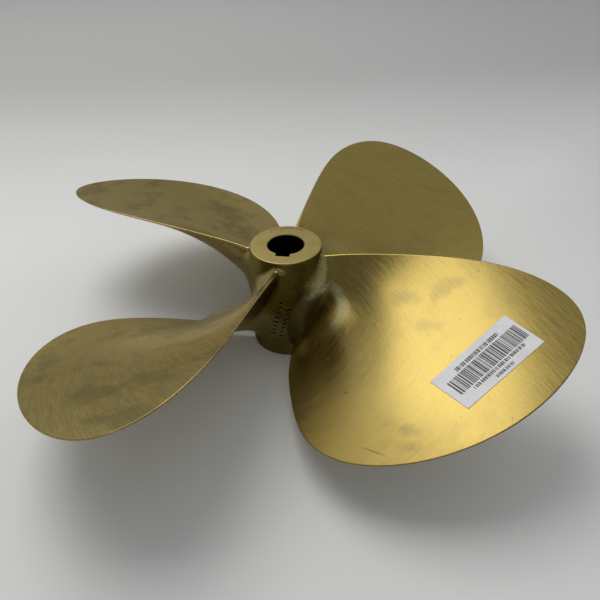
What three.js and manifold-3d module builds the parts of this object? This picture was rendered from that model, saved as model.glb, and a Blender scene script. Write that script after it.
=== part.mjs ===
// Four-blade inboard boat propeller, 23 inch diameter by 19 inch pitch, right-hand.
// Millimetres, with the shaft axis on Z. The hub stands on its forward face at z = 0, and
// +Z points aft, to the small end of the tapered bore where the shaft nut goes.
import * as THREE from "three";
import { LoftGeometry } from "three/addons/geometries/LoftGeometry.js";
import { mergeVertices } from "three/addons/utils/BufferGeometryUtils.js";
import Module from "manifold-3d";

const INCH = 25.4;
const GAP = 0.3; // clearance kept between pieces that touch

// Driving dimensions of the casting
const TIP_RADIUS = (23 * INCH) / 2;
const PITCH = 19 * INCH; // advance of the blade face in one turn
const BLADE_COUNT = 4;
const FIRST_BLADE_ANGLE = -50; // degrees from +X to the first blade's generator line

// Hub: a cone with a 1:10 tapered bore for a 50 mm shaft and a 14 x 9 mm key
const HUB_LENGTH = 118;
const HUB_FORWARD_RADIUS = 39.5;
const HUB_AFT_RADIUS = 37;
const HUB_CHAMFER = 1.2;
const BORE_FORWARD_RADIUS = 25;
const BORE_AFT_RADIUS = BORE_FORWARD_RADIUS - HUB_LENGTH / 20;
const BORE_CHAMFER = 0.8;
const KEYWAY_WIDTH = 14;
const KEYWAY_DEPTH = 3.6; // below the bore's wall, all along the taper
const KEYWAY_ANGLE = -100; // degrees from +X
const HUB_SEGMENTS = 64;

// Blade: chord, skew and rake are Bezier values from the root (first) to the tip (last)
const ROOT_RADIUS = 38; // where the blade outline starts
const BURIED_RADIUS = 34; // the blade is made from here, then cut to the hub's cone
const FACE_HEIGHT = 65; // height of the generator line at the root
const CHORD = [100, 184, 193, 436, 435]; // times the half-ellipse factor that rounds the tip
const SKEW = [0, -21, 11, -50, 67]; // offset of the mid-chord line along the pitch line
const RAKE = [0, 23, 30]; // climb of the generator line towards aft
const ROOT_THICKNESS = 20;
const TIP_THICKNESS = 5;
const EDGE_THICKNESS = 1.8;
const LEADING_BIAS = 0.3; // how far the back's arch leans towards the leading edge
const TIP_LAND = 6; // shortest chord, at the very tip

// Low swelling of the aft face beside the hub
const SWELL_HEIGHT = 6.5;
const SWELL_RADIUS = 44;
const SWELL_ALONG = -20; // its centre along the pitch line, and from the shaft axis
const SWELL_FROM_AXIS = 68;

const SPAN_STEPS = 21;
const CHORD_STEPS = 16;

// Stock label: a 89 x 41 mm sticker on the first blade's aft face
const LABEL_LENGTH = 89;
const LABEL_WIDTH = 41;
const LABEL_THICKNESS = 0.3;
const LABEL_RADIUS = 231; // radius of its centre
const LABEL_ANGLE = 5.3; // degrees round the axis from the generator line to its centre
const LABEL_TURN = 12; // degrees that its long side is turned outwards from the pitch line
const LABEL_STEPS = 12;

const wasm = await Module();
wasm.setup();

const radians = THREE.MathUtils.degToRad;

// A closed three.js geometry as a solid that can be joined and cut.
function solidOf(geometry) {
  const bare = new THREE.BufferGeometry();
  bare.setAttribute("position", geometry.getAttribute("position"));
  bare.setIndex(geometry.getIndex());
  const merged = mergeVertices(bare, 1e-3);
  const mesh = new wasm.Mesh({
    numProp: 3,
    vertProperties: merged.attributes.position.array,
    triVerts: new Uint32Array(merged.index.array),
  });
  return new wasm.Manifold(mesh);
}

// A solid as a three.js geometry.
function geometryOf(solid) {
  const mesh = solid.getMesh();
  const geometry = new THREE.BufferGeometry();
  geometry.setAttribute("position", new THREE.BufferAttribute(mesh.vertProperties, 3));
  geometry.setIndex(new THREE.BufferAttribute(mesh.triVerts, 1));
  geometry.computeVertexNormals();
  return geometry;
}

// A solid of revolution about Z from [radius, height] pairs listed anticlockwise.
function revolve(profile) {
  const points = profile.map(([radius, height]) => new THREE.Vector2(radius, height));
  return new THREE.LatheGeometry([...points, points[0].clone()], HUB_SEGMENTS).rotateX(Math.PI / 2);
}

// The value at share (0 to 1) of a Bezier curve with any number of control values.
function bezier(values, share) {
  if (values.length === 1) return values[0];
  const lower = bezier(values.slice(0, -1), share);
  const upper = bezier(values.slice(1), share);
  return lower + (upper - lower) * share;
}

function spanShare(radius) {
  return (radius - ROOT_RADIUS) / (TIP_RADIUS - ROOT_RADIUS);
}

// A point of the blade: on the cylinder of this radius, so far along the helical pitch line
// from the generator (aft is positive), and so deep below the aft face.
function bladePoint(radius, along, depth) {
  const pitchAngle = Math.atan2(PITCH, 2 * Math.PI * radius);
  const generatorHeight = FACE_HEIGHT + bezier(RAKE, spanShare(radius));
  const arc = along * Math.cos(pitchAngle) + depth * Math.sin(pitchAngle);
  const climb = along * Math.sin(pitchAngle) - depth * Math.cos(pitchAngle);
  const angle = arc / radius;
  return new THREE.Vector3(
    radius * Math.cos(angle),
    radius * Math.sin(angle),
    generatorHeight + climb,
  );
}

// Height of the swelling above the aft face.
function swelling(radius, along) {
  const reach = Math.hypot(radius - SWELL_FROM_AXIS, along - SWELL_ALONG) / SWELL_RADIUS;
  return SWELL_HEIGHT * Math.max(1 - reach ** 2, 0) ** 2;
}

// Closed outline of the blade's section at one radius: aft face flat apart from its swelling,
// forward back arched.
function bladeSection(radius) {
  const share = spanShare(radius);
  const ellipse = Math.sqrt(Math.max(1 - share * share, 0));
  const chord = Math.max(ellipse * bezier(CHORD, share), TIP_LAND);
  const middle = bezier(SKEW, share);
  const arch = THREE.MathUtils.lerp(ROOT_THICKNESS, TIP_THICKNESS, share) - EDGE_THICKNESS;
  const points = [];
  for (let i = 0; i < 2 * CHORD_STEPS; i++) {
    const turn = (Math.PI * i) / CHORD_STEPS;
    const across = Math.cos(turn); // 1 at the trailing edge, -1 at the leading edge
    const along = middle + (chord / 2) * across;
    const bulge = Math.abs(Math.sin(turn));
    const onBack = turn > Math.PI;
    const depth = onBack
      ? EDGE_THICKNESS * Math.cbrt(bulge) + arch * bulge ** 2 * (1 - LEADING_BIAS * across)
      : -swelling(radius, along) * (1 - across ** 6);
    points.push(bladePoint(radius, along, depth));
  }
  return points;
}

function bladeGeometry() {
  const sections = [bladeSection(BURIED_RADIUS)];
  for (let i = 0; i <= SPAN_STEPS; i++) {
    const fromTip = 1 - i / SPAN_STEPS; // squared below, so the sections crowd at the tip
    sections.push(
      bladeSection(THREE.MathUtils.lerp(ROOT_RADIUS, TIP_RADIUS, 1 - fromTip * fromTip)),
    );
  }
  const blade = new LoftGeometry(sections, { capStart: true, capEnd: true });
  const hubSpace = revolve([
    [0, -GAP],
    [HUB_FORWARD_RADIUS + GAP, -GAP],
    [HUB_AFT_RADIUS + GAP, HUB_LENGTH + GAP],
    [0, HUB_LENGTH + GAP],
  ]);
  return geometryOf(solidOf(blade).subtract(solidOf(hubSpace)));
}

function hubGeometry() {
  const body = revolve([
    [BORE_FORWARD_RADIUS + BORE_CHAMFER, 0],
    [HUB_FORWARD_RADIUS - HUB_CHAMFER, 0],
    [HUB_FORWARD_RADIUS, HUB_CHAMFER],
    [HUB_AFT_RADIUS, HUB_LENGTH - HUB_CHAMFER],
    [HUB_AFT_RADIUS - HUB_CHAMFER, HUB_LENGTH],
    [BORE_AFT_RADIUS + BORE_CHAMFER, HUB_LENGTH],
    [BORE_AFT_RADIUS, HUB_LENGTH - BORE_CHAMFER],
    [BORE_FORWARD_RADIUS, BORE_CHAMFER],
  ]);
  return geometryOf(solidOf(body).subtract(solidOf(keywayGeometry())));
}

// The space of the keyway: its floor follows the taper of the bore.
function keywayGeometry() {
  const overrun = 5;
  const flare = (overrun * (BORE_FORWARD_RADIUS - BORE_AFT_RADIUS)) / HUB_LENGTH;
  const side = new THREE.Shape([
    new THREE.Vector2(0, -overrun),
    new THREE.Vector2(BORE_FORWARD_RADIUS + flare + KEYWAY_DEPTH, -overrun),
    new THREE.Vector2(BORE_AFT_RADIUS - flare + KEYWAY_DEPTH, HUB_LENGTH + overrun),
    new THREE.Vector2(0, HUB_LENGTH + overrun),
  ]);
  return new THREE.ExtrudeGeometry(side, { depth: KEYWAY_WIDTH, bevelEnabled: false })
    .translate(0, 0, -KEYWAY_WIDTH / 2)
    .rotateX(Math.PI / 2)
    .rotateZ(radians(KEYWAY_ANGLE));
}

// The label is a thin slab laid straight across the blade face, a clearance above it.
function labelGeometry() {
  const slab = new THREE.BoxGeometry(
    LABEL_LENGTH,
    LABEL_WIDTH,
    LABEL_THICKNESS,
    LABEL_STEPS,
    LABEL_STEPS / 2,
  );
  const turn = radians(LABEL_TURN);
  const slope = Math.atan2(PITCH, 2 * Math.PI * LABEL_RADIUS); // of the face under the label
  const corner = new THREE.Vector3();
  const position = slab.getAttribute("position");
  for (let i = 0; i < position.count; i++) {
    corner.fromBufferAttribute(position, i);
    const across = (corner.x * Math.cos(turn) + corner.y * Math.sin(turn)) * Math.cos(slope);
    const outward = LABEL_RADIUS + corner.x * Math.sin(turn) - corner.y * Math.cos(turn);
    const radius = Math.hypot(across, outward);
    const angle = radians(LABEL_ANGLE) + Math.atan2(across, outward);
    const along = (angle * radius) / Math.cos(Math.atan2(PITCH, 2 * Math.PI * radius));
    const height = GAP + LABEL_THICKNESS / 2 + corner.z;
    const laid = bladePoint(radius, along, -height);
    position.setXYZ(i, laid.x, laid.y, laid.z);
  }
  slab.computeVertexNormals();
  return slab;
}

const hubBronze = new THREE.MeshStandardMaterial({
  color: 0x8a7742,
  metalness: 1,
  roughness: 0.45,
});
const bladeBronze = new THREE.MeshStandardMaterial({
  color: 0xa8914f,
  metalness: 1,
  roughness: 0.35,
});
const labelFilm = new THREE.MeshStandardMaterial({
  color: 0xe6e6e4,
  metalness: 0,
  roughness: 0.6,
});

function part(name, geometry, material, turn = 0) {
  const mesh = new THREE.Mesh(geometry, material);
  mesh.name = name;
  mesh.rotation.z = radians(turn);
  return mesh;
}

const propeller = new THREE.Group();
propeller.add(part("hub", hubGeometry(), hubBronze));

const blade = bladeGeometry();
for (let i = 0; i < BLADE_COUNT; i++) {
  const angle = FIRST_BLADE_ANGLE + (360 / BLADE_COUNT) * i;
  propeller.add(part(`blade_${i + 1}`, blade, bladeBronze, angle));
}

propeller.add(part("stock_label", labelGeometry(), labelFilm, FIRST_BLADE_ANGLE));

export default propeller;
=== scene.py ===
"""Four-blade bronze boat propeller with a stock label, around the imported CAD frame.

Shape values are in millimetres and turned into metres when a mesh is made. The shaft axis is Z,
the hub stands on its forward face at z = 0, and +Z points aft.
"""

import math
import random

import bpy
import numpy as np
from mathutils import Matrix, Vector


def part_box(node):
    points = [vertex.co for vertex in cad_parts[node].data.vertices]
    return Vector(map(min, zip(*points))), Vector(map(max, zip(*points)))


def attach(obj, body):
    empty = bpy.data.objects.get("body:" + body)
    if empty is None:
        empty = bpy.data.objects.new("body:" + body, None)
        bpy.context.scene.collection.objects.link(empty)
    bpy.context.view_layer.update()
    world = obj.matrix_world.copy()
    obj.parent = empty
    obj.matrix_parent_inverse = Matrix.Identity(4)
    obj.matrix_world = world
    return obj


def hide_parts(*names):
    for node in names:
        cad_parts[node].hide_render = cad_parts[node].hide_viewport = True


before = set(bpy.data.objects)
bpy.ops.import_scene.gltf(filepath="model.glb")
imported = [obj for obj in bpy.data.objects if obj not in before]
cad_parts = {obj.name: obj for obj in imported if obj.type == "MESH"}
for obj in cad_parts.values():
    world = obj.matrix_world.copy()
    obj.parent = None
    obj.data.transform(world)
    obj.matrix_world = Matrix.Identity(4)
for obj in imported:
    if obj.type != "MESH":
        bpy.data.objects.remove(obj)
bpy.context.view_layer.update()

MM = 0.001

# ---------------------------------------------------------------- shape, mostly as in the CAD part
HUB_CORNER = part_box("hub")[1]
HUB_LENGTH = HUB_CORNER.z / MM
HUB_FORWARD_RADIUS = HUB_CORNER.x / MM
HUB_AFT_RADIUS = 37
BORE_FORWARD_RADIUS = 25
BORE_AFT_RADIUS = BORE_FORWARD_RADIUS - HUB_LENGTH / 20  # taper 1:10 on diameter
KEYWAY_WIDTH = 14
KEYWAY_DEPTH = 3.6
KEYWAY_ANGLE = math.radians(-100)

# Blade: chord, skew and rake are Bezier values from the root (first) to the tip (last)
TIP_RADIUS = 292.1 - 0.2  # 23 inch diameter, less the facets of the CAD outline
PITCH = 482.6  # 19 inches
ROOT_RADIUS = 38
FACE_HEIGHT = 65  # height of the generator line at the root
CHORD = (100, 184, 193, 436, 435)
SKEW = (0, -21, 11, -50, 67)
RAKE = (0, 23, 30)
ROOT_THICKNESS = 20
TIP_THICKNESS = 5
EDGE_THICKNESS = 1.8
ROOT_EDGE_EXTRA = 4.5  # the edges are this much thicker where they meet the hub
LEADING_BIAS = 0.3  # how far the back's arch leans towards the leading edge
BLADE_COUNT = 4
FIRST_BLADE_ANGLE = math.radians(-50)

# Fillets between blade and hub
EDGE_FILLET = 5
FACE_FILLET = 22
FACE_FILLET_LEAN = 0.2  # it is wider by this share towards the leading edge
BACK_FILLET = 24
FILLET_SINK = 0.03  # how far its rim is let into the hub
BURIED_RINGS = ((-0.6, 3), (-0.25, 1.2))  # lift and extra spread of the rings inside the hub
ANCHOR_DEPTH = 6  # the blade's inner end closes this far inside the hub's aft radius

# Low swelling of the aft face beside the hub: its height, radius and centre on the blade
SWELL_HEIGHT = 6.5
SWELL_RADIUS = 44
SWELL_ALONG = -20
SWELL_FROM_AXIS = 68

AROUND = 132  # points around a blade section
EDGE_CROWDING = 0.33  # how strongly they crowd towards its two edges
SPAN_ROWS = 92
FILLET_ROWS = 14
SIDE = 5  # third blade coordinate: this amid the aft face, 0 at the edges, -SIDE amid the back

# Loops of points that make the hub
HUB_AROUND = 720  # points in each
FOOT_LOOPS = ((1.2, 0), (0.35, 0.35), (0.04, 1.2))  # (inset, height) of its rounded foot
SIDE_MARGINS = (3, 2.5)  # the loops of its side start and end this far from its two ends
SIDE_LOOPS = 24
HUB_ROUNDING = 0.8  # radius of the rounded aft edge
ROUNDING_LOOPS = 6
FACE_LOOPS = (35, 32, 29, 27.5)  # radii of the loops on the aft face
BORE_CHAMFER = 0.6
KEYWAY_CHAMFER = 0.4
BORE_ROWS = 16  # loops down the bore's wall

# Plain marks stamped in the hub: rows of bars on its side, each from (angle, height) to
# (angle, height) with its count, and an arc of dots on its aft face. Angles are in degrees.
MARK_ROWS = (((-99, 74), (-115, 30), 8), ((-89, 62), (-103, 27), 7))
MARK_TILT = (-0.7, 0.9)  # least and most, in radians from level
MARK_HALF_LENGTHS = (1.5, 2.3, 2.7)
MARK_WIDTH = 2.0
MARK_DEPTH = 0.8  # how deep a mark reaches into the metal
MARK_PROUD = 0.12  # how far its dark fill stands above the metal
DOT_ANGLES = (56, 118)
DOT_COUNT = 11
DOT_RADIUS = 32.4
DOT_SIZE = 1.4
BURR_WIDTH = 0.6  # the burr that the punch raised beside a bar
BURR_PROUD = 0.2
RAY_RADIUS = 90  # the rays that find the metal start here, outside the hub,
RAY_CLIMB = 20  # or this far above its aft face

# Stock label on the first blade, laid straight over its aft face
LABEL_LENGTH = 89
LABEL_WIDTH = 41
LABEL_RADIUS = 231
LABEL_ANGLE = math.radians(5.3)
LABEL_TURN = math.radians(12)
LABEL_LIFT = 0.25  # underside above the face
LABEL_THICKNESS = 0.2
LABEL_COLUMNS = 40  # cells along it, besides those of the printed bars
LABEL_LINES = {0, 0.08, 0.39, 0.49, 0.59, 1}  # cell edges across it, besides the printed bands

# Hook of frosted surface round the swelling, with its straight arm, that is partly a painted
# highlight, and the dark patch of painted shade inside it: centres are (along, radius)
HOOK_CENTRE = (-13, 50)
HOOK_RADIUS = 36
HOOK_WIDTH = 9
ARM_CENTRE = (14, 47)
ARM_HALF_SIZE = (22, 6)
ARM_TURN = 28  # degrees from along
HOLLOW_SHADE_CENTRE = (-18, 46)
HOLLOW_SHADE_HALF_SIZE = (30, 26)

# Stains and handling marks on their own blade: along, radius, half length, half width, turn of
# the length in degrees from along, and strength
BLADE_1_STAINS = ((42, 136, 30, 10, 59, 0.35), (76, 172, 36, 10, 38, 0.35),
                  (26, 166, 22, 12, 60, 0.35), (90, 225, 12, 9, 0, 0.35),
                  (-68, 222, 24, 11, 70, 0.4), (-80, 240, 16, 9, 20, 0.3),
                  (-100, 228, 15, 1.1, 72, 1.0), (-62, 93, 1.6, 1.2, 0, 0.9))
BLADE_4_STAINS = ((-64, 182, 24, 15, 30, 0.35), (48, 253, 26, 15, 0, 0.35),
                  (-15, 194, 2.5, 2, 0, 0.8))
SHARP_STAIN = 3  # stains up to this half width have clean edges

# Metal colours, linear RGB
BRONZE = (0.315, 0.236, 0.071)
TARNISH = (0.18, 0.145, 0.066)
STAIN = (0.20, 0.168, 0.078)
# Pale frosted colour, brightened as a painted highlight at the blade foot
FROST_AND_HIGHLIGHT = (0.66, 0.70, 0.44)
FROST_DARK = (0.16, 0.155, 0.09)
HUB_DARK = (0.12, 0.09, 0.02)
HUB_OLIVE = (0.19, 0.156, 0.052)
# Painted shade for the dark patch at a blade's foot
HOLLOW_SHADE = (0.085, 0.063, 0.018)
EDGE_TINT = (0.9, 0.82, 0.62)

# Finish of each blade: metal, directions of the grinding lines, strength and size of the tarnish
# clouds, strength of the frosted surface with its painted highlight and of the painted shade at the
# foot, and stains
BLADE_FINISHES = (
    (BRONZE, (112, -11), 0.15, 60, 1.0, BLADE_1_STAINS),
    ((0.345, 0.262, 0.08), (-18, -31), 0.15, 70, 0.3, ()),
    ((0.38, 0.298, 0.122), (-4,), 0.6, 75, 0.5, ()),
    ((0.37, 0.288, 0.112), (20,), 0.6, 60, 0.5, BLADE_4_STAINS),
)

# Label colours (cleanest, most rubbed), then least and most roughness
FILM = ((0.93, 0.93, 0.93), (0.87, 0.87, 0.87), 0.42, 0.55)
INK = ((0.035, 0.035, 0.037), (0.05, 0.05, 0.052), 0.35, 0.5)


def bezier(values, share):
    """The value at share (0 to 1, or an array) of a Bezier curve."""
    order = len(values) - 1
    return sum(
        math.comb(order, i) * value * share**i * (1 - share) ** (order - i)
        for i, value in enumerate(values)
    )


def bezier_slope(values, share):
    """How fast that value changes with share."""
    steps = [(b - a) * (len(values) - 1) for a, b in zip(values, values[1:])]
    return bezier(steps, share)


def hub_radius(height):
    """Radius of the hub's cone at a height."""
    share = np.clip(height / HUB_LENGTH, 0, 1)
    return HUB_FORWARD_RADIUS + (HUB_AFT_RADIUS - HUB_FORWARD_RADIUS) * share


def blade_point(radius, along, depth):
    """Rows of x, y, z of points of a blade whose generator line is over +X.

    radius is from the shaft axis, along is along the helical pitch line (aft is positive), and
    depth is below the aft face.
    """
    slope = np.arctan2(PITCH, 2 * math.pi * radius)
    share = (radius - ROOT_RADIUS) / (TIP_RADIUS - ROOT_RADIUS)
    angle = (along * np.cos(slope) + depth * np.sin(slope)) / radius
    climb = along * np.sin(slope) - depth * np.cos(slope)
    height = FACE_HEIGHT + bezier(RAKE, share) + climb
    return np.stack([radius * np.cos(angle), radius * np.sin(angle), height], -1)


def section(radius, turn):
    """Along and depth of a point of the blade's section.

    turn runs 0 to pi over the aft face from the trailing edge, then back over the arched forward
    side. The arch fades out at the tip, and the edges are round.
    """
    share = np.clip((radius - ROOT_RADIUS) / (TIP_RADIUS - ROOT_RADIUS), None, 1)
    width = bezier(CHORD, share)
    across = np.cos(turn)
    offset = across * width * np.sqrt(np.maximum(1 - share**2, 0)) / 2
    along = bezier(SKEW, share) + offset

    # Distance to the outline, from the outline's implicit form (zero on it) and its slope
    inside = (1 - share**2) * (1 - across**2)
    slope_along = -8 * offset / width**2
    slope_share = (
        -2 * share
        + 8 * offset * bezier_slope(SKEW, share) / width**2
        + 8 * offset**2 * bezier_slope(CHORD, share) / width**3
    )
    slope = np.hypot(slope_along, slope_share / (TIP_RADIUS - ROOT_RADIUS))
    distance = inside / np.maximum(slope, 1e-9)

    half = (EDGE_THICKNESS + ROOT_EDGE_EXTRA * np.clip(1 - share, 0, 1) ** 10) / 2
    round_edge = np.sqrt(1 - (1 - np.clip(distance / half, 0, 1)) ** 2)
    thickest = ROOT_THICKNESS + (TIP_THICKNESS - ROOT_THICKNESS) * share
    arch = (thickest - 2 * half) * (1 - across**2) * (1 - LEADING_BIAS * across)
    arch = arch * np.sqrt(np.maximum(1 - np.maximum(share, 0) ** 6, 0))
    swelling = root_swelling(radius, along) * (1 - across**6)
    on_back = turn > math.pi
    depth = np.where(on_back, half * (1 + round_edge) + arch, half * (1 - round_edge) - swelling)
    return along, depth


def root_swelling(radius, along):
    """Height of the swelling above the aft face."""
    reach = np.hypot(radius - SWELL_FROM_AXIS, along - SWELL_ALONG) / SWELL_RADIUS
    return SWELL_HEIGHT * np.maximum(1 - reach**2, 0) ** 2


def section_normal(radius, turn):
    """Unit normal of the section's outline in (along, depth), pointing out of the metal."""
    step = 1e-3
    turn = np.clip(turn, step, 2 * math.pi - step)
    along_a, depth_a = section(radius, turn - step)
    along_b, depth_b = section(radius, turn + step)
    run, fall = along_b - along_a, depth_b - depth_a
    length = np.hypot(run, fall)
    return -fall / length, run / length


def blade_vertices():
    """Rings of points from under the hub's surface, up the fillet and out to the tip.

    Returns the points, their (along, radius, side) places, their share of the fillet (1 at the
    hub, 0 outside the fillet) and the number of rings. Two single points come last: the tip, and
    the anchor that closes the inner end.
    """
    share = np.arange(AROUND) / AROUND
    turn = 2 * math.pi * share - EDGE_CROWDING * np.sin(4 * math.pi * share)
    bulge = np.sin(turn) ** 2
    fillet = EDGE_FILLET + bulge * np.where(
        turn < math.pi,
        (FACE_FILLET - EDGE_FILLET) * (1 - FACE_FILLET_LEAN * np.cos(turn)),
        BACK_FILLET - EDGE_FILLET,
    )
    side = SIDE * np.sin(turn)

    def ring(lift, spread):
        """A ring so far above the hub's cone, its outline grown by spread."""
        height = np.full(AROUND, HUB_LENGTH / 2)
        for _ in range(4):
            radius = hub_radius(height) + lift
            along, depth = section(radius, turn)
            out_along, out_depth = section_normal(radius, turn)
            along, depth = along + spread * out_along, depth + spread * out_depth
            points = blade_point(radius, along, depth)
            height = points[:, 2]
        return points, np.stack([along, radius, side], -1)

    rings = [ring(lift, fillet + extra) for lift, extra in BURIED_RINGS]
    for i in range(FILLET_ROWS + 1):
        sweep = math.pi / 2 * (1 - i / FILLET_ROWS)
        lift = fillet * (1 - math.sin(sweep)) - FILLET_SINK * math.sin(sweep)
        rings.append(ring(lift, fillet * (1 - math.cos(sweep))))
    filleted = len(rings)
    last_radius = rings[-1][1][:, 1]
    for i in range(1, SPAN_ROWS):
        from_tip = (1 - i / SPAN_ROWS) ** 2
        radius = TIP_RADIUS - (TIP_RADIUS - last_radius) * from_tip
        along, depth = section(radius, turn)
        rings.append((blade_point(radius, along, depth), np.stack([along, radius, side], -1)))
    tip_along = bezier(SKEW, 1.0)
    tip = blade_point(np.array([TIP_RADIUS]), np.array([tip_along]),
                      np.array([EDGE_THICKNESS / 2]))
    anchor = np.array([[HUB_AFT_RADIUS - ANCHOR_DEPTH, 0, FACE_HEIGHT]])
    points = np.concatenate([*(ring_points for ring_points, _ in rings), tip, anchor])
    ends = [[tip_along, TIP_RADIUS, 0], [0, BORE_FORWARD_RADIUS, 0]]
    places = np.concatenate([*(ring_places for _, ring_places in rings), ends])
    climb = 1 - np.arange(len(rings)) / filleted  # 1 at the hub, 0 from the fillet's end on
    fillet_share = np.append(np.repeat(np.maximum(climb, 0), AROUND), [0, 1])
    return points, places, fillet_share, len(rings)


def closed_ring_faces(rows, tip, anchor):
    """Quads between rings of AROUND points, closed by a fan to the tip and to the anchor."""
    faces = []
    for row in range(rows - 1):
        for i in range(AROUND):
            j = (i + 1) % AROUND
            low, high = row * AROUND, (row + 1) * AROUND
            faces.append((low + i, low + j, high + j, high + i))
    last = (rows - 1) * AROUND
    for i in range(AROUND):
        j = (i + 1) % AROUND
        faces.append((last + i, last + j, tip))
        faces.append((j, i, anchor))
    return faces


def add_mesh(name, points, faces, smooth_angle=None):
    """A smooth-shaded piece from points in millimetres; smooth_angle (degrees) keeps its edges."""
    mesh = bpy.data.meshes.new(name)
    mesh.from_pydata((np.asarray(points) * MM).tolist(), [], faces)
    mesh.update()
    mesh.polygons.foreach_set("use_smooth", [True] * len(mesh.polygons))
    if smooth_angle:
        mesh.set_sharp_from_angle(angle=math.radians(smooth_angle))
    piece = bpy.data.objects.new(name, mesh)
    bpy.context.scene.collection.objects.link(piece)
    return piece


def turned(points, angle):
    """Points turned round the shaft axis."""
    cos, sin = math.cos(angle), math.sin(angle)
    return points @ np.array([[cos, sin, 0], [-sin, cos, 0], [0, 0, 1]])


def make_blades():
    """The four blades, each a turned copy of one mesh that carries its own blade coordinates."""
    points, places, fillet_share, rows = blade_vertices()
    tip = rows * AROUND
    faces = closed_ring_faces(rows, tip, tip + 1)
    blades = []
    for i in range(BLADE_COUNT):
        angle = FIRST_BLADE_ANGLE + 2 * math.pi * i / BLADE_COUNT
        blade = add_mesh(f"blade_{i + 1}_cast", turned(points, angle), faces)
        where = blade.data.attributes.new("blade_mm", "FLOAT_VECTOR", "POINT")
        where.data.foreach_set("vector", places.ravel())
        share = blade.data.attributes.new("fillet_share", "FLOAT", "POINT")
        share.data.foreach_set("value", fillet_share)
        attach(blade, "root")
        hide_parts(f"blade_{i + 1}")
        blades.append(blade)
    return blades


# ---------------------------------------------------------------- hub
def punched_marks():
    """Plain marks stamped in the hub, as (origin, aim, run, half length) of each: a ray from
    origin along aim finds the surface, and run is the way the mark lies on it."""
    chooser = random.Random(7)
    marks = []
    for (start_angle, start_height), (end_angle, end_height), count in MARK_ROWS:
        for share in np.linspace(0, 1, count):
            angle = math.radians(start_angle + (end_angle - start_angle) * share)
            height = start_height + (end_height - start_height) * share
            tilt = chooser.uniform(*MARK_TILT)
            out = Vector((math.cos(angle), math.sin(angle), 0))
            across = Vector((-math.sin(angle), math.cos(angle), 0))
            run = across * math.cos(tilt) + Vector((0, 0, math.sin(tilt)))
            origin = RAY_RADIUS * out + Vector((0, 0, height))
            marks.append((origin, -out, run, chooser.choice(MARK_HALF_LENGTHS)))
    for angle in np.radians(np.linspace(*DOT_ANGLES, DOT_COUNT)):
        out = Vector((math.cos(angle), math.sin(angle), 0))
        origin = DOT_RADIUS * out + Vector((0, 0, HUB_LENGTH + RAY_CLIMB))
        marks.append((origin, Vector((0, 0, -1)), out, DOT_SIZE / 2))
    return marks


def marks_piece(metal_pieces):
    """The stamped marks: short dark bars let into whatever metal they are on, each with the
    burr that the punch raised below it, its bright colour a painted glint."""
    bpy.context.view_layer.update()
    points, faces, kinds = [], [], []

    def surface(origin, aim):
        """Where a ray meets the nearest metal, and the metal's normal there."""
        hits = [piece.ray_cast(origin * MM, aim) for piece in metal_pieces]
        hits = [(place / MM, normal) for hit, place, normal, _ in hits if hit]
        return min(hits, key=lambda hit: (hit[0] - origin).length)

    def bar(origin, aim, run, side, half, width, proud, kind):
        """A bar with its four corners on the metal, round the ray from origin."""
        first = len(points)
        corners = [surface(origin + along * run + 0.5 * width * out * side, aim)
                   for along, out in ((-half, -1), (half, -1), (half, 1), (-half, 1))]
        for lift in (-MARK_DEPTH, proud):
            points.extend(place + lift * normal for place, normal in corners)
        low, high = range(first, first + 4), range(first + 4, first + 8)
        sides = [(low[i], low[(i + 1) % 4], high[(i + 1) % 4], high[i]) for i in range(4)]
        faces.extend([tuple(low)[::-1], tuple(high), *sides])
        kinds.extend([kind] * 6)

    dark_fill, burr = 0, 1
    for origin, aim, run, half in punched_marks():
        normal = surface(origin, aim)[1]
        side = normal.cross(run).normalized()
        width = min(MARK_WIDTH, 2 * half)
        bar(origin, aim, run, side, half, width, MARK_PROUD, dark_fill)
        if width == MARK_WIDTH:
            below = origin - (MARK_WIDTH + BURR_WIDTH) / 2 * side
            bar(below, aim, run, side, 0.7 * half, BURR_WIDTH, BURR_PROUD, burr)
    marks = add_mesh("punched_marks", [tuple(point) for point in points], faces, smooth_angle=30)
    marks.data.materials.append(mark_finish())
    marks.data.materials.append(burr_glint_finish())
    marks.data.polygons.foreach_set("material_index", kinds)
    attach(marks, "root")


def bore_loop(turn, radius, grow=0.0):
    """Distance of the bore's wall, keyway included, at these angles from the keyway's middle."""
    half = KEYWAY_WIDTH / 2 + grow
    turn = np.maximum(np.abs(turn), 1e-6)
    keyway = np.minimum(half / np.sin(turn), (radius + KEYWAY_DEPTH) / np.cos(turn))
    return np.where(turn < math.asin(half / radius), keyway, radius)


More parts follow.
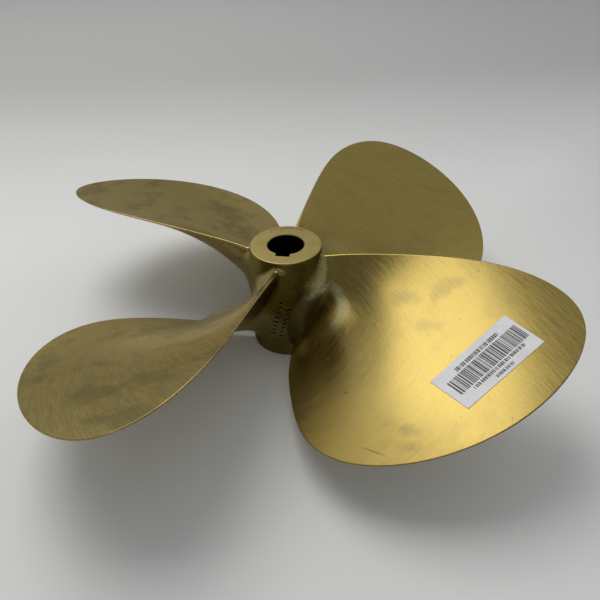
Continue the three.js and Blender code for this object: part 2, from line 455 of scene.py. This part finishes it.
def hub_piece():
    """The hub as loops of points that run up the outside, over the aft face and down the bore."""
    angles = KEYWAY_ANGLE + 2 * math.pi * np.arange(HUB_AROUND) / HUB_AROUND
    ring = np.column_stack([np.cos(angles), np.sin(angles)])
    from_keyway = (angles - KEYWAY_ANGLE + math.pi) % (2 * math.pi) - math.pi

    loops, kinds = [], []

    def loop(outline, height, kind):
        """kind is the material of the band that rises from this loop."""
        loops.append(np.column_stack([outline, np.zeros(HUB_AROUND) + height]))
        kinds.append(kind)

    cast, machined, reamed = 0, 1, 2
    for inset, height in FOOT_LOOPS:
        loop((HUB_FORWARD_RADIUS - inset) * ring, height, cast)
    for height in np.linspace(SIDE_MARGINS[0], HUB_LENGTH - SIDE_MARGINS[1], SIDE_LOOPS):
        loop(hub_radius(height) * ring, height, cast)
    for step in np.linspace(0, 1, ROUNDING_LOOPS):
        lean = step * math.pi / 2
        radius = HUB_AFT_RADIUS - HUB_ROUNDING * (1 - math.cos(lean))
        loop(radius * ring, HUB_LENGTH - HUB_ROUNDING * (1 - math.sin(lean)), machined)
    for radius in FACE_LOOPS:
        loop(radius * ring, HUB_LENGTH, machined)
    mouth = bore_loop(from_keyway, BORE_AFT_RADIUS + BORE_CHAMFER, KEYWAY_CHAMFER)
    loop(mouth[:, None] * ring, HUB_LENGTH, machined)
    for height in np.linspace(HUB_LENGTH - BORE_CHAMFER, BORE_CHAMFER, BORE_ROWS):
        radius = BORE_FORWARD_RADIUS + (BORE_AFT_RADIUS - BORE_FORWARD_RADIUS) * height / HUB_LENGTH
        loop(bore_loop(from_keyway, radius)[:, None] * ring, height, reamed)
    kinds[-1] = machined  # the forward chamfer
    mouth = bore_loop(from_keyway, BORE_FORWARD_RADIUS + BORE_CHAMFER, KEYWAY_CHAMFER)
    loop(mouth[:, None] * ring, 0, machined)

    faces, face_kinds = [], []
    for row, kind in enumerate(kinds):
        low, high = row * HUB_AROUND, (row + 1) % len(loops) * HUB_AROUND
        for i in range(HUB_AROUND):
            j = (i + 1) % HUB_AROUND
            faces.append((low + i, low + j, high + j, high + i))
            face_kinds.append(kind)
    hub = add_mesh("hub_cast", np.concatenate(loops), faces, smooth_angle=32)
    for finish in (hub_finish(), machined_finish(), bore_painted_shade_finish()):
        hub.data.materials.append(finish)
    hub.data.polygons.foreach_set("material_index", face_kinds)
    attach(hub, "root")
    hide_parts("hub")
    return hub


# ---------------------------------------------------------------- label
def printed_runs(chooser, start, end, widths, gaps):
    """Stretches (from, to) of ink, as shares of the label's length, filling start to end."""
    runs = []
    while start < end:
        stop = min(start + chooser.choice(widths), end)
        runs.append((start, stop))
        start = stop + chooser.choice(gaps)
    return runs


def label_rows():
    """Each printed row as its band of the label's width and its runs of ink: plain dashes stand
    for the lines of type, and bars of no meaning for the bar code."""
    chooser = random.Random(12)
    dash, gap = (0.008, 0.013, 0.018), (0.006, 0.006, 0.006, 0.014)
    return (
        ((0.15, 0.25), printed_runs(chooser, 0.24, 0.80, dash, gap)),
        ((0.29, 0.69), printed_runs(chooser, 0.075, 0.968, (0.006, 0.009, 0.014, 0.019),
                                    (0.005, 0.007, 0.011))),
        ((0.72, 0.80), printed_runs(chooser, 0.20, 0.86, dash, gap)),
        ((0.86, 0.93), printed_runs(chooser, 0.42, 0.64, dash, gap)),
    )


def label_point(length_share, width_share, lift):
    """Where a point of the label is, from its shares of the label's length and width."""
    run = (length_share - 0.5) * LABEL_LENGTH
    out = (width_share - 0.5) * LABEL_WIDTH
    slope = math.atan2(PITCH, 2 * math.pi * LABEL_RADIUS)
    across = (run * math.cos(LABEL_TURN) - out * math.sin(LABEL_TURN)) * math.cos(slope)
    outward = LABEL_RADIUS + run * math.sin(LABEL_TURN) + out * math.cos(LABEL_TURN)
    radius = np.hypot(across, outward)
    along = (LABEL_ANGLE + np.arctan2(across, outward)) * radius
    along = along / np.cos(np.arctan2(PITCH, 2 * math.pi * radius))
    return blade_point(radius, along, -lift)


def label_piece():
    """One thin closed mesh whose cells line up with the printed bars and dashes."""
    rows = label_rows()
    columns = {round(edge, 5) for _, runs in rows for run in runs for edge in run}
    columns |= {round(i / LABEL_COLUMNS, 5) for i in range(LABEL_COLUMNS + 1)}
    columns = sorted(columns)
    lines = sorted({edge for band, _ in rows for edge in band} | LABEL_LINES)
    across, down = len(columns), len(lines)
    grid = [(u, v) for v in lines for u in columns]
    u, v = np.array(grid).T
    top = label_point(u, v, LABEL_LIFT + LABEL_THICKNESS)
    bottom = label_point(u, v, LABEL_LIFT)

    def inked(u, v):
        return any(band[0] < v < band[1] and any(a < u < b for a, b in runs) for band, runs in rows)

    count = across * down
    faces, inks = [], []
    for row in range(down - 1):
        for column in range(across - 1):
            a = row * across + column
            b, c, d = a + 1, a + across + 1, a + across
            faces += [(a, d, c, b), (count + a, count + b, count + c, count + d)]
            middle = ((columns[column] + columns[column + 1]) / 2, (lines[row] + lines[row + 1]) / 2)
            inks += [int(inked(*middle)), 0]
    rim = [*range(across), *range(2 * across - 1, count, across),
           *range(count - 2, count - across - 1, -1), *range(count - 2 * across, 0, -across)]
    for a, b in zip(rim, rim[1:] + rim[:1]):
        faces.append((a, b, count + b, count + a))
        inks.append(0)
    label = add_mesh("stock_label_film", turned(np.concatenate([top, bottom]), FIRST_BLADE_ANGLE),
                     faces, smooth_angle=30)
    label.data.materials.append(film_finish("label_film", *FILM))
    label.data.materials.append(film_finish("label_ink", *INK))
    label.data.polygons.foreach_set("material_index", inks)
    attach(label, "root")
    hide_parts("stock_label")


# ---------------------------------------------------------------- materials
def put(tree, socket, value):
    """Links a socket to another one, or sets it to a plain value."""
    if isinstance(value, bpy.types.NodeSocket):
        tree.links.new(value, socket)
    else:
        socket.default_value = value


def add_node(tree, kind, output, inputs, **settings):
    """Adds a shader node, sets or links its inputs, and returns one output."""
    made = tree.nodes.new(kind)
    for name, value in settings.items():
        setattr(made, name, value)
    for name, value in inputs.items():
        put(tree, made.inputs[name], value)
    return made.outputs[output]


class Shade:
    """One metal, film or floor material: short ways to add shader nodes and link them."""

    def __init__(self, name, metallic=0.0):
        self.material = bpy.data.materials.new(name)
        self.material.use_nodes = True
        self.tree = self.material.node_tree
        self.shader = self.tree.nodes["Principled BSDF"]
        self.put("Metallic", metallic)
        if metallic:
            self.put("Specular Tint", (*EDGE_TINT, 1))

    def put(self, name, value):
        """Sets or links an input of the surface itself."""
        put(self.tree, self.shader.inputs[name], value)

    def node(self, kind, output, inputs, **settings):
        return add_node(self.tree, kind, output, inputs, **settings)

    def attribute(self, name, output="Vector"):
        return self.node("ShaderNodeAttribute", output, {}, attribute_name=name)

    def object_mm(self):
        """The place on the piece in millimetres."""
        return self.stretched(self.node("ShaderNodeTexCoord", "Object", {}), 0, (MM, MM, MM))

    def stretched(self, place, turn, size, origin=(0, 0, 0)):
        """place seen from origin, along axes turned by so many degrees, in units of size."""
        return self.node("ShaderNodeMapping", "Vector",
                         {"Vector": place, "Location": origin,
                          "Rotation": (0, 0, math.radians(turn)), "Scale": size},
                         vector_type="TEXTURE")

    def noise(self, place, detail=2.0, roughness=0.5):
        """Cloudy noise from 0 to 1, with features about one unit of place in size."""
        return self.node("ShaderNodeTexNoise", "Fac",
                         {"Vector": place, "Scale": 1.0, "Detail": detail,
                          "Roughness": roughness})

    def fade(self, value, start, end, low=0.0, high=1.0):
        """low up to start, then smoothly to high at end."""
        return self.node("ShaderNodeMapRange", "Result",
                         {"Value": value, "From Min": start, "From Max": end,
                          "To Min": low, "To Max": high}, interpolation_type="SMOOTHSTEP")

    def math(self, operation, first, second=0.0):
        return self.node("ShaderNodeMath", "Value", {0: first, 1: second}, operation=operation)

    def length(self, vector):
        return self.node("ShaderNodeVectorMath", "Value", {0: vector}, operation="LENGTH")

    def blend(self, share, first, second):
        """The number first where share is 0 and second where it is 1."""
        return self.node("ShaderNodeMix", 0, {0: share, 2: first, 3: second})

    def mix(self, share, first, second):
        """first where share is 0 and second where it is 1; colours are RGB triples or sockets."""
        first, second = (c if isinstance(c, bpy.types.NodeSocket) else (*c, 1)
                         for c in (first, second))
        return self.node("ShaderNodeMix", 2, {0: share, 6: first, 7: second}, data_type="RGBA")

    def finish(self, color, roughness, bumps=()):
        """Sets the surface; bumps are (height from 0 to 1, depth in metres) pairs."""
        self.put("Base Color", color)
        self.put("Roughness", roughness)
        normal = None
        for height, depth in bumps:
            inputs = {"Height": height, "Distance": depth}
            if normal:
                inputs["Normal"] = normal
            normal = self.node("ShaderNodeBump", "Normal", inputs)
        if normal:
            self.put("Normal", normal)
        return self.material


def blade_finish(name, metal, strokes, patch_share, patch_size, frost_and_painted_light, stains):
    """Ground and half-tarnished bronze, over (along, radius, side) millimetres of one blade.

    strokes are the directions of the grinding lines in degrees from along, where a second one is
    for the leading half. patch_share is how strongly cloudy tarnish of patch_size mm shows.
    frost_and_painted_light is how strongly the frosted surface with its painted highlight and the
    painted shade patch at the foot show. stains are as listed at the top.
    """
    shade = Shade(name, metallic=1.0)
    place = shade.attribute("blade_mm")
    along = shade.node("ShaderNodeSeparateXYZ", "X", {"Vector": place})

    lines = None
    for turn in strokes:
        fine = shade.noise(shade.stretched(place, turn, (20, 0.7, 40)), 2, 0.6)
        broad = shade.noise(shade.stretched(place, turn + 2, (90, 4.0, 40)), 1)
        family = shade.math("ADD", shade.math("MULTIPLY", fine, 0.8),
                            shade.math("MULTIPLY", broad, 0.2))
        if lines is None:
            lines = family
        else:
            wobble = shade.noise(shade.stretched(place, 0, (40, 40, 40)))
            where = shade.math("ADD", along, shade.math("MULTIPLY", wobble, 60))
            lines = shade.blend(shade.fade(where, -10, 60, 1, 0), lines, family)
    streak = shade.fade(lines, 0.3, 0.7)

    cloud = shade.noise(shade.stretched(place, -20, (patch_size, 0.6 * patch_size, 60)), 5, 0.62)
    patches = shade.math("MULTIPLY", shade.fade(cloud, 0.49, 0.62), patch_share)
    dark = tuple(0.90 * c for c in metal)
    pale = tuple(1.09 * c for c in metal)
    color = shade.mix(streak, dark, pale)
    color = shade.mix(patches, color, TARNISH)
    rough = shade.fade(streak, 0, 1, 0.22, 0.32)
    rough = shade.math("ADD", rough, shade.math("MULTIPLY", patches, 0.08))
    rough = shade.math("ADD", rough, shade.fade(along, -110, -20, 0.2, 0))

    edges = shade.noise(shade.stretched(place, 0, (14, 14, 14)), 4, 0.6)
    edges = shade.math("MULTIPLY", shade.math("SUBTRACT", edges, 0.5), 2.4)
    for at_along, at_radius, length, width, turn, strength in stains:
        inside = shade.stretched(place, turn, (length, width, 60), (at_along, at_radius, 1))
        inside = shade.length(inside)
        if width > SHARP_STAIN:
            inside = shade.math("ADD", inside, edges)
        near = shade.fade(inside, 0.1, 1.0, strength, 0.0)
        color = shade.mix(near, color, STAIN)
        rough = shade.math("ADD", rough, shade.math("MULTIPLY", near, 0.12))

    # Near the hub the casting is left dark, with pale frosted surface where the grinder can't reach;
    # this is brightened in a band and a hook as a painted highlight, with painted shade inside the
    # hook
    speckle = shade.noise(shade.stretched(place, 0, (1.3, 1.3, 1.3)), 2, 0.6)
    cast, frost_and_highlight, hollow_painted_shade = root_finish(shade, place, speckle)
    frost_and_highlight = shade.math("MULTIPLY", frost_and_highlight, frost_and_painted_light)
    hollow_painted_shade = shade.math("MULTIPLY", hollow_painted_shade, frost_and_painted_light)
    color = shade.mix(cast, color, HUB_OLIVE)
    color = shade.mix(hollow_painted_shade, color, HOLLOW_SHADE)
    rough = shade.math("ADD", rough, shade.math("MULTIPLY", hollow_painted_shade, 0.1))
    color = shade.mix(frost_and_highlight, color, shade.mix(shade.fade(speckle, 0.3, 0.7), FROST_DARK, FROST_AND_HIGHLIGHT))
    rough = shade.blend(frost_and_highlight, rough, 0.55)
    shade.put("Metallic", shade.fade(frost_and_highlight, 0, 1, 1.0, 0.25))

    pits = shade.fade(shade.noise(shade.stretched(place, 0, (5, 5, 5)), 1), 0.73, 0.79)
    color = shade.mix(shade.math("MULTIPLY", pits, 0.55), color, tuple(0.35 * c for c in metal))
    grain = shade.math("MULTIPLY", speckle, frost_and_highlight)
    return shade.finish(color, rough, ((streak, 0.000006), (grain, 0.0003)))


def root_finish(shade, place, speckle):
    """How much of the olive casting, the frosted surface with its painted highlight and the painted
    shade patch show at a blade's foot.

    The frosted surface lies on the aft face's fillet on the trailing side, and in a hook round the
    swelling, placed and brightened as a painted highlight; the painted shade fills the inside of the
    hook and the foot's crease.
    """
    share = shade.attribute("fillet_share", "Fac")
    along = shade.node("ShaderNodeSeparateXYZ", "X", {"Vector": place})
    radius, side = (along.node.outputs[axis] for axis in "YZ")
    on_face = shade.fade(side, -1, 1)

    # Band on the upper fillet: frosted surface brightened as a painted highlight
    upper = shade.math("MULTIPLY", shade.fade(share, 0.1, 0.35), shade.fade(along, 8, 24))
    hook = ring_band(shade, place, HOOK_CENTRE, HOOK_RADIUS, HOOK_WIDTH)
    hook = shade.math("MULTIPLY", hook, shade.fade(along, -50, 10))
    hook = shade.math("MULTIPLY", hook, shade.fade(radius, 46, 58, 0, 0.5))
    arm = shade.length(shade.stretched(place, ARM_TURN, (*ARM_HALF_SIZE, 9), (*ARM_CENTRE, 0)))
    hook = shade.math("MAXIMUM", hook, shade.fade(arm, 0.3, 1.0, 1, 0))
    worn = shade.noise(shade.stretched(place, 0, (12, 12, 40)), 3)
    frost_and_highlight = shade.math("MAXIMUM", shade.math("MULTIPLY", upper, 0.4), hook)
    frost_and_highlight = shade.math("MULTIPLY", frost_and_highlight, shade.fade(worn, 0.35, 0.6, 0.6, 1))
    frost_and_highlight = shade.math("MULTIPLY", frost_and_highlight, shade.fade(speckle, 0.2, 0.6, 0.5, 1.0))

    # Painted shade: a dark patch inside the hook and along the foot's crease
    hollow_painted_shade = shade.length(shade.stretched(place, 0, (*HOLLOW_SHADE_HALF_SIZE, 60), (*HOLLOW_SHADE_CENTRE, 0)))
    foot = shade.math("MULTIPLY", shade.fade(share, 0.02, 0.3), shade.fade(along, 4, 22, 1, 0))
    hollow_painted_shade = shade.math("MAXIMUM", shade.fade(hollow_painted_shade, 0.6, 1.15, 0.65, 0), foot)

    near_hub = shade.fade(share, 0.55, 0.9, 0, 0.9)
    on_back = shade.fade(side, -1, 1, 1, 0)
    back_foot = shade.math("MULTIPLY", shade.fade(share, 0.0, 0.6, 0, 0.9), on_back)
    return (shade.math("MAXIMUM", near_hub, back_foot), shade.math("MULTIPLY", frost_and_highlight, on_face),
            shade.math("MULTIPLY", hollow_painted_shade, on_face))


def ring_band(shade, place, centre, radius, width):
    """1 on a ring round the centre, fading to 0 a width to either side of it."""
    distance = shade.node("ShaderNodeVectorMath", "Value", {0: place, 1: (*centre, 2)},
                          operation="DISTANCE")
    off = shade.math("ABSOLUTE", shade.math("SUBTRACT", distance, radius))
    return shade.fade(off, 0.2 * width, width, 1, 0)


def mark_finish():
    """Near-black fill in the stamped marks, with little shine."""
    shade = Shade("mark_dark_fill")
    shade.put("Specular IOR Level", 0.05)
    dark_fill = shade.noise(shade.object_mm())
    color = shade.mix(dark_fill, (0.002, 0.0015, 0.001), (0.02, 0.015, 0.006))
    return shade.finish(color, shade.fade(dark_fill, 0.3, 0.7, 0.7, 0.9), ((dark_fill, 0.0001),))


def burr_glint_finish():
    """Metal raised by the punch, coloured bright as a painted glint."""
    shade = Shade("burr_bronze_painted_glint", metallic=1.0)
    wear = shade.noise(shade.object_mm())
    color = shade.mix(wear, (0.30, 0.25, 0.12), (0.62, 0.52, 0.28))
    return shade.finish(color, shade.fade(wear, 0.3, 0.7, 0.4, 0.6), ((wear, 0.0002),))


def hub_finish():
    """Dark cast bronze on the outside of the hub, with cleaner metal rubbed bright in places."""
    shade = Shade("hub_cast_bronze", metallic=1.0)
    place = shade.object_mm()
    cloud = shade.noise(shade.stretched(place, 0, (22, 22, 30)), 4, 0.6)
    grain = shade.noise(shade.stretched(place, 0, (1.2, 1.2, 1.2)), 2)
    color = shade.mix(shade.fade(cloud, 0.38, 0.62), HUB_DARK, HUB_OLIVE)
    color = shade.mix(shade.fade(grain, 0.35, 0.75, 0, 0.35), color, BRONZE)
    return shade.finish(color, shade.fade(grain, 0.3, 0.7, 0.36, 0.5), ((grain, 0.00015),))


def machined_finish():
    """The hub's turned end faces: fine rings round the axis."""
    shade = Shade("hub_machined_bronze", metallic=1.0)
    place = shade.object_mm()
    flat = shade.node("ShaderNodeVectorMath", "Vector", {0: place, 1: (1, 1, 0)},
                      operation="MULTIPLY")
    ring = shade.node("ShaderNodeCombineXYZ", "Vector", {"X": shade.length(flat)})
    rings = shade.noise(shade.stretched(ring, 0, (0.7, 1, 1)), 2, 0.7)
    worn = shade.noise(shade.stretched(place, 25, (26, 9, 20)), 4, 0.6)
    color = shade.mix(shade.fade(rings, 0.3, 0.7), (0.34, 0.265, 0.10), (0.48, 0.375, 0.14))
    color = shade.mix(shade.fade(worn, 0.5, 0.72, 0, 0.45), color, (0.30, 0.245, 0.115))
    return shade.finish(color, shade.fade(worn, 0.3, 0.7, 0.33, 0.45), ((rings, 0.00004),))


def bore_painted_shade_finish():
    """The reamed bore, coloured near black as painted shade, with fine rings down the taper."""
    shade = Shade("bore_bronze_painted_shade", metallic=1.0)
    place = shade.object_mm()
    rings = shade.noise(shade.stretched(place, 0, (60, 60, 0.8)), 2)
    color = shade.mix(rings, (0.02, 0.016, 0.008), (0.07, 0.055, 0.025))
    return shade.finish(color, shade.fade(rings, 0.3, 0.7, 0.35, 0.5), ((rings, 0.00003),))


def film_finish(name, clean, rubbed, low, high):
    """Printed film, a little uneven where it has been rubbed, and from low to high in roughness."""
    shade = Shade(name)
    place = shade.object_mm()
    rub = shade.noise(shade.stretched(place, 0, (14, 14, 14)), 4, 0.6)
    color = shade.mix(shade.fade(rub, 0.35, 0.65), clean, rubbed)
    fibre = shade.noise(shade.stretched(place, 0, (0.5, 0.5, 0.5)), 2)
    return shade.finish(color, shade.fade(rub, 0.3, 0.7, low, high), ((fibre, 0.00001),))


def floor_with_painted_shade():
    """Pale matt paint, in metres, with painted shade that makes it darker towards the back and the
    right.
    """
    shade = Shade("floor_paint_painted_shade")
    place = shade.node("ShaderNodeTexCoord", "Object", {})
    wash = shade.noise(shade.stretched(place, 20, (0.5, 0.3, 1)), 3)
    color = shade.mix(shade.fade(wash, 0.3, 0.7), (0.91, 0.91, 0.90), (0.94, 0.94, 0.935))
    back = shade.node("ShaderNodeSeparateXYZ", "Y", {"Vector": place})
    right = back.node.outputs["X"]
    # Painted shade: darker towards the back and the right, where less light falls
    falloff_painted_shade = shade.math("MAXIMUM", shade.fade(back, 0.1, 1.1, 0, 0.85),
                     shade.fade(right, 0.2, 0.7, 0, 0.4))
    color = shade.mix(falloff_painted_shade, color, (0.44, 0.44, 0.435))
    grain = shade.noise(shade.stretched(place, 0, (0.002, 0.002, 0.002)), 2)
    return shade.finish(color, shade.fade(wash, 0.3, 0.7, 0.62, 0.72), ((grain, 0.00008),))


# ---------------------------------------------------------------- stage
def make_floor():
    half = 40.0
    corners = [(-half, -half, 0), (half, -half, 0), (half, half, 0), (-half, half, 0)]
    mesh = bpy.data.meshes.new("floor")
    mesh.from_pydata(corners, [], [(0, 1, 2, 3)])
    floor = bpy.data.objects.new("floor", mesh)
    floor.data.materials.append(floor_with_painted_shade())
    bpy.context.scene.collection.objects.link(floor)


def make_camera():
    """The camera that took the photo, as fitted to the propeller's outline."""
    data = bpy.data.cameras.new("camera")
    data.lens = 34.73
    data.sensor_width = 36
    camera = bpy.data.objects.new("camera", data)
    camera.location = (0.00375, -0.50905, 0.4325)
    camera.rotation_euler = [math.radians(a) for a in (52.722, 1.232, -1.995)]
    bpy.context.scene.collection.objects.link(camera)
    bpy.context.scene.camera = camera


def area_light(name, location, target, size, power, color=(1, 1, 1)):
    """A rectangular light at location, size wide and long in metres, turned to face target."""
    data = bpy.data.lights.new(name, "AREA")
    data.shape = "RECTANGLE"
    data.size, data.size_y = size
    data.energy = power
    data.color = color
    light = bpy.data.objects.new(name, data)
    light.location = location
    towards = Vector(target) - Vector(location)
    light.rotation_euler = towards.to_track_quat("-Z", "Y").to_euler()
    bpy.context.scene.collection.objects.link(light)


def make_world():
    """A room seen as soft brightness: paler walls low down, one paler patch to the right, and
    one round the ceiling panel."""
    world = bpy.data.worlds.new("studio")
    world.use_nodes = True
    tree = world.node_tree
    place = tree.nodes.new("ShaderNodeTexCoord").outputs["Generated"]

    total = 0.2
    for direction, start, end, strength in (((0, 0, -1), -0.6, -0.15, 0.21),
                                            ((0.47, 0.44, 0.77), 0.7, 0.92, 0.27),
                                            ((-0.45, 0.59, 0.67), 0.86, 0.985, 0.55)):
        nearness = add_node(tree, "ShaderNodeVectorMath", "Value", {0: place, 1: direction},
                            operation="DOT_PRODUCT")
        glow = add_node(tree, "ShaderNodeMapRange", "Result",
                        {"Value": nearness, "From Min": start, "From Max": end,
                         "To Max": strength}, interpolation_type="SMOOTHSTEP")
        total = add_node(tree, "ShaderNodeMath", "Value", {0: glow, 1: total}, operation="ADD")
    background = tree.nodes["Background"]
    put(tree, background.inputs["Strength"], total)
    put(tree, background.inputs["Color"], (0.965, 0.99, 1, 1))
    bpy.context.scene.world = world


make_camera()
make_world()
make_floor()
area_light("ceiling_panel", (-0.68, 1.05, 2.4), (-0.68, 1.05, 0), (1.6, 2.0), 29.5,
           (1, 0.985, 0.95))
area_light("window", (0.3, -1.9, 1.1), (0, 0, 0.05), (1.6, 1.2), 2, (0.8, 0.92, 1))
blades = make_blades()
for i, (blade, finish) in enumerate(zip(blades, BLADE_FINISHES)):
    blade.data.materials.append(blade_finish(f"blade_{i + 1}_bronze", *finish))
hub = hub_piece()
marks_piece([hub, *blades])
label_piece()
bpy.context.scene.view_settings.view_transform = "Standard"
